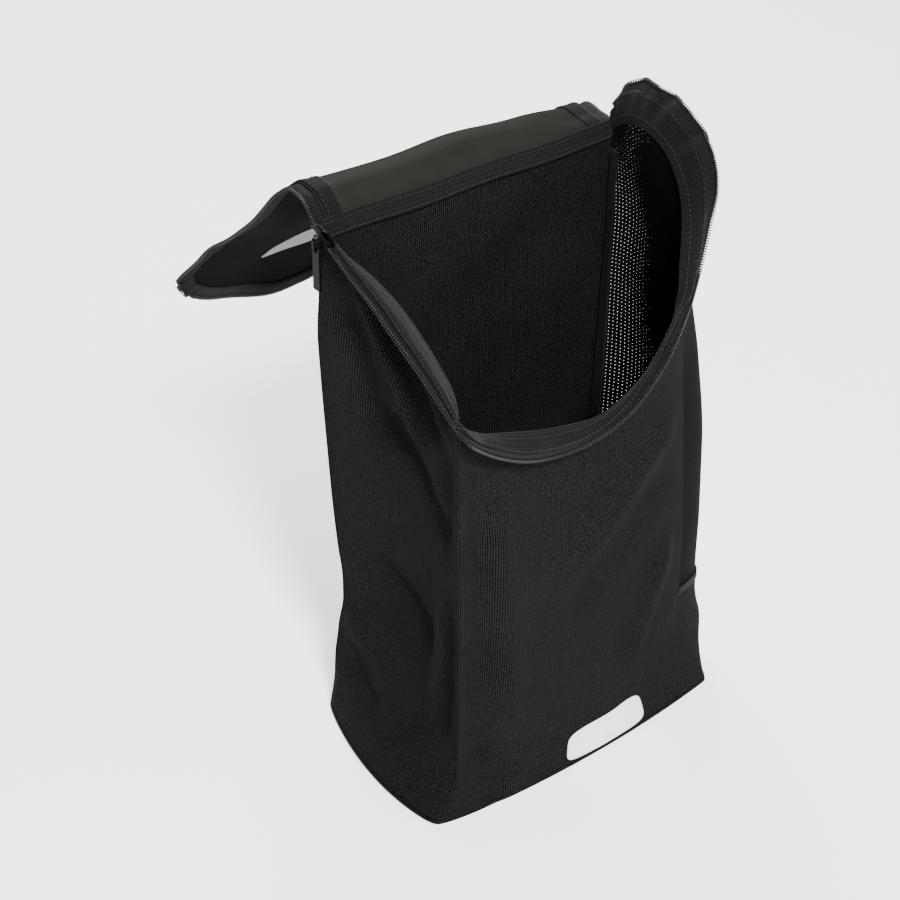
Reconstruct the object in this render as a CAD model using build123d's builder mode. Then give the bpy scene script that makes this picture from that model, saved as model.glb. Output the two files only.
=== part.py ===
"""Shoe bag: a tall, soft, four-walled bag of woven cloth with one mesh wall, whose lid is sewn to
the back wall and zips round the other three. It stands with the lid thrown open behind it.

Frame: origin at the middle of the base's underside, +X to the right as seen from the front, +Y to
the back, +Z up. Millimetres. The front wall faces -Y.
"""

import math
import os

from build123d import *

os.makedirs("parts", exist_ok=True)

# ---- driving dimensions -------------------------------------------------------------------------
WIDTH = 200.0  # left wall to right wall
DEPTH = 125.0  # front wall to back wall
BACK_HEIGHT = 355.0  # top of the back wall
CLOTH = 1.6  # wall with its coating and seam turns, drawn as one skin
LOFT_TOP = 392.0  # height that the walls are lofted to before their top edges are cut
HALF_W, HALF_D = WIDTH / 2, DEPTH / 2

# The walls lean in towards the front right at the top, where the open bag sags.
BASE_CORNERS = {
    "front_left": (-HALF_W, -HALF_D),
    "front_right": (HALF_W, -HALF_D),
    "back_right": (HALF_W, HALF_D),
    "back_left": (-HALF_W, HALF_D),
}
TOP_CORNERS = {
    "front_left": (-HALF_W, -HALF_D),
    "front_right": (HALF_W - 14, -HALF_D + 20),
    "back_right": (HALF_W + 3, HALF_D),
    "back_left": (-HALF_W - 10, HALF_D),
}
# How far the middle of each wall stands out from the line between its corners, base and top.
BULGE = {"front": (2.0, 16.0), "right": (2.0, 14.0), "back": (2.0, 2.0), "left": (0.6, 0.6)}
WALL_ENDS = {
    "front": ("front_left", "front_right"),
    "right": ("front_right", "back_right"),
    "back": ("back_right", "back_left"),
    "left": ("back_left", "front_left"),
}

# Top edge of the cloth, where the zip is sewn on.
LEFT_EDGE_BACK, LEFT_EDGE_FRONT = 350.0, 281.0
FRONT_EDGE_LOW = (-12.0, 240.0)  # x, z of the lowest point of the front's scoop
RIGHT_EDGE_FRONT = 288.0
RIGHT_ARCH = [(-24.0, 336.0), (-4.0, 358.0), (24.0, 368.0), (48.0, 362.0)]  # y, z
RIGHT_EDGE_BACK = 350.0

TAPE_SHOWN = 4.5  # zip tape between the cloth's edge and the coil
COIL_WIDTH, COIL_THICK = 2.6, 2.6
RIM_BINDING = 9.0  # ribbed tape that covers the seam inside the opening
BINDING_THICK = 1.2
SEAM_RIB = 7.0  # bound seam allowance standing into each inside corner

MESH_SEAM_FRONT, MESH_SEAM_BACK = 96.0, 52.0  # seam between the mesh and the woven foot under it

# Lid, thrown open: a short run level with the hinge, a long run hanging, and a scooped lip.
HINGE_Z = 358.0
HINGE_GAP = 2.2
FOLD_Y = HALF_D + 30.5
MID_LENGTH, MID_TILT = 124.5, 49.35  # degrees below level
LIP_TILT = 62.0
LIP_DEPTH = 41.0
REAR_HALF = 97.5  # half width of the lid at the hinge, coil included
LEFT_FLARE, RIGHT_TAPER = 32.5, 15.5  # the open lid sways to the left as it hangs
FOLD_GAP = 2.4

# Zip slider and puller.
SLIDER_LENGTH, SLIDER_WIDTH, PLATE = 11.0, 10.0, 1.1
SLIDER_GAP = 4.0
SLIDER_FROM_BACK, TRAVEL_END = 11.5, 12.0  # slider's middle to the back and front walls, along Y
PULLER_LENGTH, PULLER_WIDTH, PULLER_THICK = 30.0, 6.0, 1.4


# ---- walls --------------------------------------------------------------------------------------
def unit(ax, ay):
    length = math.hypot(ax, ay)
    return ax / length, ay / length


def corner(corners, name, offset):
    """The corner moved outwards by the same offset from both of its walls."""
    order = ["front_left", "front_right", "back_right", "back_left"]
    i = order.index(name)
    before, here, after = (corners[order[(i + k) % 4]] for k in (-1, 0, 1))
    ax, ay = unit(here[0] - before[0], here[1] - before[1])
    bx, by = unit(after[0] - here[0], after[1] - here[1])
    normal_a, normal_b = (ay, -ax), (by, -bx)
    scale = offset / (1 + normal_a[0] * normal_b[0] + normal_a[1] * normal_b[1])
    return (
        here[0] + (normal_a[0] + normal_b[0]) * scale,
        here[1] + (normal_a[1] + normal_b[1]) * scale,
    )


def bulged(start, end, bulge):
    """The middle of an arc from start to end that stands out by bulge."""
    ux, uy = unit(end[0] - start[0], end[1] - start[1])
    return (start[0] + end[0]) / 2 + uy * bulge, (start[1] + end[1]) / 2 - ux * bulge


def wall_skin(wall, outside, inside, bottom=CLOTH):
    """A full-height wall between two offsets from its middle surface, lofted from base to top."""
    first, last = WALL_ENDS[wall]
    with BuildPart() as skin:
        for corners, level, bulge in (
            (BASE_CORNERS, bottom, BULGE[wall][0]),
            (TOP_CORNERS, LOFT_TOP, BULGE[wall][1]),
        ):
            outer_a, outer_b = (corner(corners, n, outside) for n in (first, last))
            inner_a, inner_b = (corner(corners, n, inside) for n in (first, last))
            with BuildSketch(Plane.XY.offset(level)):
                with BuildLine():
                    ThreePointArc(outer_a, bulged(outer_a, outer_b, bulge), outer_b)
                    Line(outer_b, inner_b)
                    ThreePointArc(inner_b, bulged(inner_a, inner_b, bulge), inner_a)
                    Line(inner_a, outer_a)
                make_face()
        loft(ruled=True)
    return skin.part


def edge_curve(wall, lift):
    """The wall's top edge in its own side view, lifted by that much: a line, an arc or a spline."""
    far = 12.0
    if wall == "left":
        slope = (LEFT_EDGE_BACK - LEFT_EDGE_FRONT) / DEPTH
        return Line(
            (-HALF_D - far, LEFT_EDGE_FRONT - far * slope + lift),
            (HALF_D + far, LEFT_EDGE_BACK + far * slope + lift),
        )
    if wall == "front":
        right = corner(TOP_CORNERS, "front_right", 0)[0] + 3
        return ThreePointArc(
            (-HALF_W, LEFT_EDGE_FRONT + lift),
            (FRONT_EDGE_LOW[0], FRONT_EDGE_LOW[1] + lift),
            (right, RIGHT_EDGE_FRONT + lift),
        )
    if wall == "right":
        points = [(-HALF_D + 16, RIGHT_EDGE_FRONT - 4), *RIGHT_ARCH, (HALF_D, RIGHT_EDGE_BACK)]
        return Spline(*[(y, z + lift) for y, z in points])
    return Line((-HALF_W - far, BACK_HEIGHT + lift), (HALF_W + far, BACK_HEIGHT + lift))


def between_edges(wall, low, high):
    """Everything between two lifts of a wall's top edge; low None reaches down past the base."""
    side_view = Plane.XZ if wall in ("front", "back") else Plane.YZ
    with BuildPart() as block:
        with BuildSketch(side_view) as region:
            with BuildLine():
                upper = edge_curve(wall, high)
                start, end = upper @ 0, upper @ 1
                if low is None:
                    beyond = 20.0
                    Polyline(
                        end,
                        (end.X + beyond, end.Y),
                        (end.X + beyond, -1.0),
                        (start.X - beyond, -1.0),
                        (start.X - beyond, start.Y),
                        start,
                    )
                else:
                    lower = edge_curve(wall, low)
                    Line(end, lower @ 1)
                    Line(lower @ 0, start)
            make_face()
        extrude(amount=WIDTH, both=True)
    return block.part


def cut_wall(wall, outside, inside, low, high):
    with BuildPart() as piece:
        add(wall_skin(wall, outside, inside))
        add(between_edges(wall, low, high), mode=Mode.INTERSECT)
    return piece.part


def save(part, label):
    part.label = label
    export_step(part, f"parts/{label}.step")


HALF_CLOTH = CLOTH / 2

# ---- base ---------------------------------------------------------------------------------------
with BuildPart() as base_panel:
    with BuildSketch():
        with BuildLine():
            for wall_name, (a, b) in WALL_ENDS.items():
                p, q = (corner(BASE_CORNERS, n, HALF_CLOTH) for n in (a, b))
                ThreePointArc(p, bulged(p, q, BULGE[wall_name][0]), q)
        make_face()
    extrude(amount=CLOTH)
save(base_panel.part, "base_panel")

# ---- cloth walls --------------------------------------------------------------------------------
for wall_name, label in (("front", "front_panel"), ("left", "left_side_panel"), ("back", "back_panel")):
    save(cut_wall(wall_name, HALF_CLOTH, -HALF_CLOTH, None, 0.0), label)

right_wall = cut_wall("right", HALF_CLOTH, -HALF_CLOTH, None, 0.0)
with BuildPart() as below_mesh_seam:
    with BuildSketch(Plane.YZ):
        with BuildLine():
            Polyline(
                (-HALF_D - 10, 0),
                (HALF_D + 10, 0),
                (HALF_D + 10, MESH_SEAM_BACK),
                (-HALF_D - 10, MESH_SEAM_FRONT),
                close=True,
            )
        make_face()
    extrude(amount=WIDTH, both=True)
with BuildPart() as right_mesh_panel:
    add(right_wall)
    add(below_mesh_seam.part, mode=Mode.SUBTRACT)
with BuildPart() as right_foot_panel:
    add(right_wall)
    add(below_mesh_seam.part, mode=Mode.INTERSECT)
save(right_mesh_panel.part, "right_mesh_panel")
save(right_foot_panel.part, "right_foot_panel")

# ---- zip half and binding round the opening -----------------------------------------------------
ZIP_WALLS = ("left", "front", "right")
with BuildPart() as body_zip_tape:
    for wall_name in ZIP_WALLS:
        add(cut_wall(wall_name, 0.5, -0.5, 0.0, TAPE_SHOWN))
with BuildPart() as body_zip_coil:
    for wall_name in ZIP_WALLS:
        half = COIL_THICK / 2
        add(cut_wall(wall_name, half, -half, TAPE_SHOWN, TAPE_SHOWN + COIL_WIDTH))
with BuildPart() as rim_binding:
    for wall_name in ZIP_WALLS:
        add(cut_wall(wall_name, -HALF_CLOTH, -HALF_CLOTH - BINDING_THICK, -RIM_BINDING, -0.5))
save(body_zip_tape.part, "body_zip_tape")
save(body_zip_coil.part, "body_zip_coil")
save(rim_binding.part, "rim_binding")

with BuildPart() as hinge_binding:
    add(cut_wall("back", -HALF_CLOTH, -HALF_CLOTH - BINDING_THICK, -12.0, 0.0))
save(hinge_binding.part, "hinge_binding")

# ---- bound seam allowances inside the four upright corners and round the base --------------------
RIB_TOP = {"front_left": 268.0, "front_right": 272.0, "back_right": 336.0, "back_left": 330.0}
RIB_BOTTOM = CLOTH + 5.0
for name, rib_top in RIB_TOP.items():
    share = (rib_top - CLOTH) / (LOFT_TOP - CLOTH)
    with BuildPart() as rib:
        for level, lean in ((RIB_BOTTOM, 0.012), (rib_top, share)):
            low_x, low_y = BASE_CORNERS[name]
            high_x, high_y = TOP_CORNERS[name]
            x = low_x + (high_x - low_x) * lean
            y = low_y + (high_y - low_y) * lean
            inward = math.degrees(math.atan2(-y, -x))
            reach = HALF_CLOTH + BINDING_THICK + 2.6
            start = Vector(x, y).add(Vector(reach, 0).rotate(Axis.Z, 45 + 90 * round((inward - 45) / 90)))
            plane = Plane(
                origin=(start.X, start.Y, level),
                x_dir=Vector(1, 0, 0).rotate(Axis.Z, 45 + 90 * round((inward - 45) / 90)),
                z_dir=(0, 0, 1),
            )
            with BuildSketch(plane):
                with Locations((SEAM_RIB / 2, 0)):
                    Rectangle(SEAM_RIB, 2.0)
        loft(ruled=True)
    save(rib.part, f"seam_binding_{name}")

with BuildPart() as base_seam_binding:
    for wall_name, (a, b) in WALL_ENDS.items():
        with BuildSketch(Plane.XY.offset(CLOTH)):
            with BuildLine():
                outer = [corner(BASE_CORNERS, n, -HALF_CLOTH - 0.4) for n in (a, b)]
                inner = [corner(BASE_CORNERS, n, -HALF_CLOTH - 2.4) for n in (a, b)]
                arcs = BULGE[wall_name][0]
                ThreePointArc(outer[0], bulged(outer[0], outer[1], arcs), outer[1])
                Line(outer[1], inner[1])
                ThreePointArc(inner[1], bulged(inner[0], inner[1], arcs), inner[0])
                Line(inner[0], outer[0])
            make_face()
        extrude(amount=4.6)
save(base_seam_binding.part, "base_seam_binding")

# ---- haul loop on the back ----------------------------------------------------------------------
LOOP_SPAN, LOOP_STAND, LOOP_WEB, LOOP_THICK = 92.0, 17.0, 25.0, 1.8
LOOP_Z = 318.0
LOOP_Y = HALF_D + HALF_CLOTH + BULGE["back"][0] + 0.1
with BuildPart() as haul_loop:
    with BuildSketch(Plane.XY.offset(LOOP_Z - LOOP_WEB / 2)):
        with BuildLine():
            outer = FilletPolyline(
                (-LOOP_SPAN / 2 - 16, LOOP_Y),
                (-LOOP_SPAN / 2, LOOP_Y),
                (-LOOP_SPAN / 2 + 16, LOOP_Y + LOOP_STAND),
                (LOOP_SPAN / 2 - 16, LOOP_Y + LOOP_STAND),
                (LOOP_SPAN / 2, LOOP_Y),
                (LOOP_SPAN / 2 + 16, LOOP_Y),
                radius=7.0,
            )
            offset(outer, amount=LOOP_THICK, side=Side.LEFT)
        make_face()
    extrude(amount=LOOP_WEB)
save(haul_loop.part, "haul_loop")

# ---- printed panel on the front -----------------------------------------------------------------
PRINT_THICK = 0.3
with BuildPart() as front_mark:
    with BuildSketch(Plane.XZ.offset(HALF_D - 1)):
        with Locations((8.0, 19.0)):
            RectangleRounded(56.0, 22.0, 5.0)
    extrude(amount=20)
    add(wall_skin("front", HALF_CLOTH + PRINT_THICK, HALF_CLOTH), mode=Mode.INTERSECT)
save(front_mark.part, "front_mark")

# ---- lid ----------------------------------------------------------------------------------------
HALF_LID = CLOTH / 2
rear_plane = Plane(origin=(0, HALF_D, HINGE_Z), x_dir=(1, 0, 0), z_dir=(0, 0, 1))
mid_plane = rear_plane.rotated((-MID_TILT, 0, 0))
mid_plane.origin = Vector(0, FOLD_Y, HINGE_Z)
lip_line = mid_plane.from_local_coords(Vector(0, MID_LENGTH, 0))
lip_plane = rear_plane.rotated((-LIP_TILT, 0, 0))
lip_plane.origin = lip_line

EDGE_TAPE = TAPE_SHOWN
PANEL_INSET = EDGE_TAPE + COIL_WIDTH
MID_LEFT, MID_RIGHT = REAR_HALF + LEFT_FLARE, REAR_HALF - RIGHT_TAPER
LIP_LEFT, LIP_RIGHT = MID_LEFT - 1, MID_RIGHT - 1


def slab(plane, outline, low, high):
    """A flat piece with that outline, from low to high above the plane."""
    with BuildPart() as piece:
        with BuildSketch(plane.offset(low)):
            with BuildLine():
                Polyline(*outline, close=True)
            make_face()
        extrude(amount=high - low)
    return piece.part


def run_edges(plane, lefts, rights, start, end, prefix):
    """Panel, zip tapes, coils and inside bindings of a straight-sided run of the lid."""

    def across(left_inset, right_inset):
        return [(-lefts[0] + left_inset, start), (-lefts[1] + left_inset, end),
                (rights[1] - right_inset, end), (rights[0] - right_inset, start)]

    def strips(near, far, low, high):
        outer, inner = across(near, near), across(far, far)
        with BuildPart() as pair:
            add(slab(plane, [outer[0], outer[1], inner[1], inner[0]], low, high))
            add(slab(plane, [outer[3], outer[2], inner[2], inner[3]], low, high))
        return pair.part

    save(slab(plane, across(PANEL_INSET, PANEL_INSET), -HALF_LID, HALF_LID), f"{prefix}_panel")
    save(strips(COIL_WIDTH, PANEL_INSET, -0.5, 0.5), f"{prefix}_zip_tapes")
    save(strips(0.0, COIL_WIDTH, -COIL_THICK / 2, COIL_THICK / 2), f"{prefix}_zip_coils")
    save(strips(PANEL_INSET + 0.5, PANEL_INSET + 10.5, HALF_LID, HALF_LID + BINDING_THICK),
         f"{prefix}_bindings")


REAR_START, REAR_END = HINGE_GAP, FOLD_Y - HALF_D - FOLD_GAP
run_edges(rear_plane, (REAR_HALF, REAR_HALF), (REAR_HALF, REAR_HALF), REAR_START, REAR_END, "lid_rear")
MID_START, MID_END = FOLD_GAP, MID_LENGTH - FOLD_GAP
run_edges(mid_plane, (REAR_HALF, MID_LEFT), (REAR_HALF, MID_RIGHT), MID_START, MID_END, "lid_mid")


def lip_band(inset_a, inset_b, low, high):
    """Part of the lip between two insets from its scooped edge; inset_b None fills to the fold."""
    depth_a = LIP_DEPTH - inset_a
    middle = (LIP_RIGHT - LIP_LEFT) / 2
    with BuildPart() as piece:
        with BuildSketch(lip_plane.offset(low)):
            with BuildLine():
                edge = ThreePointArc((-LIP_LEFT + inset_a, FOLD_GAP), (middle, depth_a),
                                     (LIP_RIGHT - inset_a, FOLD_GAP))
                if inset_b is None:
                    Line(edge @ 1, edge @ 0)
                else:
                    inner = ThreePointArc((-LIP_LEFT + inset_b, FOLD_GAP),
                                          (middle, LIP_DEPTH - inset_b),
                                          (LIP_RIGHT - inset_b, FOLD_GAP))
                    Line(edge @ 1, inner @ 1)
                    Line(inner @ 0, edge @ 0)
            make_face()
        extrude(amount=high - low)
    return piece.part


save(lip_band(PANEL_INSET, None, -HALF_LID, HALF_LID), "lid_lip_panel")
save(lip_band(COIL_WIDTH, PANEL_INSET, -0.5, 0.5), "lid_lip_zip_tape")
save(lip_band(0.0, COIL_WIDTH, -COIL_THICK / 2, COIL_THICK / 2), "lid_lip_zip_coil")
save(lip_band(PANEL_INSET + 0.5, PANEL_INSET + 10.5, HALF_LID, HALF_LID + BINDING_THICK),
     "lid_lip_binding")

with BuildPart() as lid_mark:
    with BuildSketch(mid_plane.offset(-HALF_LID - PRINT_THICK)):
        with Locations((-18.0, MID_LENGTH * 0.66)):
            RectangleRounded(150.0, 42.0, 12.0)
    extrude(amount=PRINT_THICK)
save(lid_mark.part, "lid_mark")

# ---- slider and puller --------------------------------------------------------------------------
def on_coil(y):
    """The point on the top of the left wall's coil at that Y."""
    share = (y + HALF_D) / DEPTH
    z = LEFT_EDGE_FRONT + share * (LEFT_EDGE_BACK - LEFT_EDGE_FRONT) + TAPE_SHOWN + COIL_WIDTH
    front_x = BASE_CORNERS["front_left"][0] + (TOP_CORNERS["front_left"][0] + HALF_W) * z / LOFT_TOP
    back_x = BASE_CORNERS["back_left"][0] + (TOP_CORNERS["back_left"][0] + HALF_W) * z / LOFT_TOP
    return Vector(front_x + (back_x - front_x) * share - BULGE["left"][0] / 2, y, z)


slider_at = on_coil(HALF_D - SLIDER_FROM_BACK)
travel = on_coil(TRAVEL_END - HALF_D) - slider_at
along = travel.normalized()
outward = (Vector(-1, 0, 0) + along * along.X).normalized()
# Local X runs down the zip towards the front, local Y up away from the cloth, local Z outwards.
slider_plane = Plane(origin=slider_at, x_dir=along, z_dir=outward)
with BuildPart() as slider_body:
    for low in (SLIDER_GAP / 2, -SLIDER_GAP / 2 - PLATE):
        with BuildSketch(slider_plane.offset(low)):
            with BuildLine():
                Polyline(
                    (-SLIDER_LENGTH / 2, -3.6),
                    (SLIDER_LENGTH / 2, -3.6),
                    (SLIDER_LENGTH / 2, SLIDER_WIDTH / 2),
                    (-SLIDER_LENGTH / 2 + 3, SLIDER_WIDTH / 2),
                    (-SLIDER_LENGTH / 2, SLIDER_WIDTH / 2 - 2.5),
                    close=True,
                )
            make_face()
        extrude(amount=PLATE)
    with BuildSketch(slider_plane.offset(-SLIDER_GAP / 2 - 0.2)):
        with Locations((SLIDER_LENGTH / 2 - 2.4, 2.6)):
            RegularPolygon(2.0, 4, rotation=45)
    extrude(amount=SLIDER_GAP + 0.4)
save(slider_body.part, "slider_body")

BRIDGE_ROOM, BRIDGE_BAR = 2.8, 1.2
BRIDGE_IN, BRIDGE_OUT = 2.8, 4.0
BRIDGE_LIFT = 0.8  # middle of the bridge above the coil's top
level_out = Vector(outward.X, outward.Y, 0).normalized()
level_along = Vector(-level_out.Y, level_out.X, 0)
plate_face = slider_at + level_out * (SLIDER_GAP / 2 + PLATE + 0.2) + Vector(0, 0, BRIDGE_LIFT)
# Local X runs up, local Y outwards: the bridge is an arch that stands across the zip.
bridge_plane = Plane(origin=plate_face, x_dir=(0, 0, 1), z_dir=level_along)
with BuildPart() as slider_bridge:
    with BuildSketch(bridge_plane.offset(-1.0)):
        with BuildLine():
            rise = BRIDGE_ROOM + BRIDGE_BAR
            Polyline((-BRIDGE_OUT, 0), (-BRIDGE_OUT, rise - 1), (-BRIDGE_OUT + 1, rise),
                     (BRIDGE_OUT - 1, rise), (BRIDGE_OUT, rise - 1), (BRIDGE_OUT, 0),
                     (BRIDGE_IN, 0), (BRIDGE_IN, BRIDGE_ROOM), (-BRIDGE_IN, BRIDGE_ROOM),
                     (-BRIDGE_IN, 0), close=True)
        make_face()
    extrude(amount=2.0)
save(slider_bridge.part, "slider_bridge")

# The puller's top bar passes under the bridge, and the bridge's lower leg through the puller's eye.
BAR, EYE_LENGTH, EYE_WIDTH = 1.4, 4.5, 3.2
pivot = plate_face + level_out * (BRIDGE_ROOM / 2)
puller_plane = Plane(origin=pivot, x_dir=level_along, z_dir=level_out)
with BuildPart() as pull_tab:
    with BuildSketch(puller_plane.offset(-PULLER_THICK / 2)):
        with Locations((0, BAR / 2 - PULLER_LENGTH / 2)):
            RectangleRounded(PULLER_WIDTH, PULLER_LENGTH, 0.5)
        with Locations((0, -BAR / 2 - EYE_LENGTH / 2)):
            Rectangle(EYE_WIDTH, EYE_LENGTH, mode=Mode.SUBTRACT)
    extrude(amount=PULLER_THICK)
save(pull_tab.part, "pull_tab")
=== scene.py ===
"""Looks of the soft shoe bag: woven and mesh walls, a zip round the mouth and a lid thrown open."""

import math

import bmesh
import bpy
import numpy as np
from mathutils import Matrix, Vector, noise


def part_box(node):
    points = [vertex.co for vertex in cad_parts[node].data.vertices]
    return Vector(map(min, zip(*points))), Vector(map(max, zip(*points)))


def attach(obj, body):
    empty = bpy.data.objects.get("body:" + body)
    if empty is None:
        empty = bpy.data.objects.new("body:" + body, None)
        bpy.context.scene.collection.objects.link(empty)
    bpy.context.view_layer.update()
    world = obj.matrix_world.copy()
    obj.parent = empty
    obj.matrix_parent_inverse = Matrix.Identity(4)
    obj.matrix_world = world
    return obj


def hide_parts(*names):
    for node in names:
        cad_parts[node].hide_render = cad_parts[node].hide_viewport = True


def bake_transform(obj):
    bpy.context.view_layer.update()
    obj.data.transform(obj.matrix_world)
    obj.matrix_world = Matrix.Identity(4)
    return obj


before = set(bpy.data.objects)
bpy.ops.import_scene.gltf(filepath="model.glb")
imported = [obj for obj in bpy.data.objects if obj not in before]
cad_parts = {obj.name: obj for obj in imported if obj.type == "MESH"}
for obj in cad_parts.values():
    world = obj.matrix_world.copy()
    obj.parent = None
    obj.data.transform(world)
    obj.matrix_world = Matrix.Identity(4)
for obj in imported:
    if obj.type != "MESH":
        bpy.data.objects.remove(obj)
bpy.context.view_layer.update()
MM = 0.001

# ================================================================ materials


class Nodes:
    """A material's node tree with short calls for the few nodes that the cloths need."""

    def __init__(self, name, rough, sheen=0.0, specular=0.5):
        self.mat = bpy.data.materials.new(name)
        self.mat.use_nodes = True
        self.nt = self.mat.node_tree
        self.bsdf = self.nt.nodes["Principled BSDF"]
        self.bsdf.inputs["Roughness"].default_value = rough
        self.bsdf.inputs["Sheen Weight"].default_value = sheen
        self.bsdf.inputs["Sheen Roughness"].default_value = 0.5
        self.bsdf.inputs["Specular IOR Level"].default_value = specular
        split = self.nt.nodes.new("ShaderNodeSeparateXYZ")
        coord = self.nt.nodes.new("ShaderNodeTexCoord")
        self.nt.links.new(coord.outputs["UV"], split.inputs[0])
        self.u, self.v = split.outputs[0], split.outputs[1]
        self.where = coord.outputs["Object"]

    def put(self, socket, value):
        if isinstance(value, (int, float)):
            socket.default_value = value
        else:
            self.nt.links.new(value, socket)

    def math(self, op, a, b=0.0):
        n = self.nt.nodes.new("ShaderNodeMath")
        n.operation = op
        for socket, value in zip(n.inputs, (a, b)):
            self.put(socket, value)
        return n.outputs[0]

    def noise(self, scale, detail=3.0, rough=0.55):
        n = self.nt.nodes.new("ShaderNodeTexNoise")
        n.inputs["Scale"].default_value = scale
        n.inputs["Detail"].default_value = detail
        n.inputs["Roughness"].default_value = rough
        self.nt.links.new(self.where, n.inputs["Vector"])
        return n.outputs["Fac"]

    def ramp(self, fac, low, high, start=0.0, end=1.0):
        n = self.nt.nodes.new("ShaderNodeValToRGB")
        n.color_ramp.elements[0].position, n.color_ramp.elements[1].position = start, end
        n.color_ramp.elements[0].color = (*low, 1)
        n.color_ramp.elements[1].color = (*high, 1)
        self.nt.links.new(fac, n.inputs[0])
        return n.outputs[0]

    def wave(self, coord, pitch_mm):
        """|sin| of a UV coordinate in metres, one bump every pitch."""
        turns = self.math("MULTIPLY", coord, math.pi / (pitch_mm * MM))
        return self.math("ABSOLUTE", self.math("SINE", turns))

    def bump(self, height, strength, distance_mm):
        n = self.nt.nodes.new("ShaderNodeBump")
        n.inputs["Strength"].default_value = strength
        n.inputs["Distance"].default_value = distance_mm * MM
        self.nt.links.new(height, n.inputs["Height"])
        self.nt.links.new(n.outputs[0], self.bsdf.inputs["Normal"])

    def color(self, output):
        self.nt.links.new(output, self.bsdf.inputs["Base Color"])


def plain_weave(name, low, high, pitch=1.35, strength=0.9, mottling=12.0):
    """Threads going over and under in a chequer, with painted glints: the colour is lightened where the
    uneven threads peak.
    """
    m = Nodes(name, 0.85, specular=0.02)
    cell_u = m.math("FLOOR", m.math("MULTIPLY", m.u, 1 / (pitch * MM)))
    cell_v = m.math("FLOOR", m.math("MULTIPLY", m.v, 1 / (pitch * MM)))
    over = m.math("ABSOLUTE", m.math("MODULO", m.math("ADD", cell_u, cell_v), 2.0))
    warp, weft = m.wave(m.u, pitch), m.wave(m.v, pitch)
    on_warp = m.math("MULTIPLY", warp, m.math("ADD", 0.45, m.math("MULTIPLY", weft, 0.55)))
    on_weft = m.math("MULTIPLY", weft, m.math("ADD", 0.45, m.math("MULTIPLY", warp, 0.55)))
    under = m.math("SUBTRACT", 1.0, over)
    mixed = m.math("ADD", m.math("MULTIPLY", on_warp, over), m.math("MULTIPLY", on_weft, under))
    slub = m.noise(620.0, 2.0, 0.7)
    height = m.math("ADD", mixed, m.math("MULTIPLY", slub, 0.45))
    # painted glint: a highlight painted into the colour on the peaks of the uneven, slubby threads
    painted_glint = m.math("MULTIPLY", mixed, m.math("POWER", slub, 2.0))
    tone = m.math("ADD", m.math("MULTIPLY", height, 0.75), m.math("MULTIPLY", painted_glint, 1.1))
    tone = m.math("ADD", tone, m.math("MULTIPLY", m.noise(mottling, 4.0), 0.25))
    m.color(m.ramp(tone, low, high, 0.72, 1.45))
    m.bump(height, strength, 0.7)
    return m.mat


def ribbed_tape(name, low, high, pitch, strength=0.8):
    """Slanting ribs across a tape, broken by its weft."""
    m = Nodes(name, 0.75, specular=0.02, sheen=0.03)
    slant = m.math("MULTIPLY", m.wave(m.v, pitch * 2.2), 0.5 * pitch * MM)
    rib = m.wave(m.math("ADD", m.u, slant), pitch)
    cross = m.wave(m.v, pitch * 1.1)
    height = m.math("MULTIPLY", rib, m.math("ADD", 0.5, m.math("MULTIPLY", cross, 0.5)))
    slub = m.noise(700.0, 2.0, 0.7)
    tone = m.math("ADD", m.math("MULTIPLY", height, 0.8), m.math("MULTIPLY", slub, 0.5))
    m.color(m.ramp(tone, low, high, 0.35, 1.1))
    m.bump(height, strength, 0.4)
    return m.mat


def twill(name, low, high, pitch):
    """The lid's inner face, with fine diagonal lines."""
    m = Nodes(name, 0.85, specular=0.02)
    diagonal = m.wave(m.math("ADD", m.u, m.math("MULTIPLY", m.v, 1.6)), pitch)
    thread = m.wave(m.math("SUBTRACT", m.v, m.u), pitch * 0.6)
    height = m.math("ADD", diagonal, m.math("MULTIPLY", thread, 0.3))
    tone = m.math("ADD", m.math("MULTIPLY", height, 0.5), m.math("MULTIPLY", m.noise(18.0), 0.5))
    m.color(m.ramp(tone, low, high, 0.2, 1.0))
    m.bump(height, 0.6, 0.2)
    return m.mat


def coating(name, low, high):
    """The lid's dull rubbery outer face, with faint threads and shallow dimples."""
    m = Nodes(name, 0.65, specular=0.05)
    faint = m.math("ADD", m.wave(m.u, 0.8), m.wave(m.v, 0.8))
    cloud = m.noise(22.0, 5.0)
    m.color(m.ramp(cloud, low, high, 0.3, 0.75))
    dimples = m.math("MULTIPLY", m.noise(75.0, 4.0), 1.2)
    m.bump(m.math("ADD", m.math("MULTIPLY", faint, 0.25), dimples), 0.5, 0.3)
    return m.mat


def film(name, low, high):
    """Transfer film that shows the weave under it."""
    m = Nodes(name, 0.55)
    weave = m.math("MULTIPLY", m.wave(m.u, 1.2), m.wave(m.v, 1.2))
    tone = m.math("ADD", m.math("MULTIPLY", weave, 0.35), m.math("MULTIPLY", m.noise(55.0), 0.6))
    m.color(m.ramp(tone, low, high, 0.15, 0.85))
    m.bump(weave, 0.5, 0.18)
    return m.mat


def smooth_dark(name, low, high, rough, specular=0.25, scale=300.0, bump=0.1):
    """Yarn, nylon or lacquer: one tone with a fine grain."""
    m = Nodes(name, rough, specular=specular)
    grain = m.noise(scale, 3.0)
    m.color(m.ramp(grain, low, high, 0.3, 0.8))
    m.bump(grain, bump, 0.1)
    return m.mat


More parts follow.
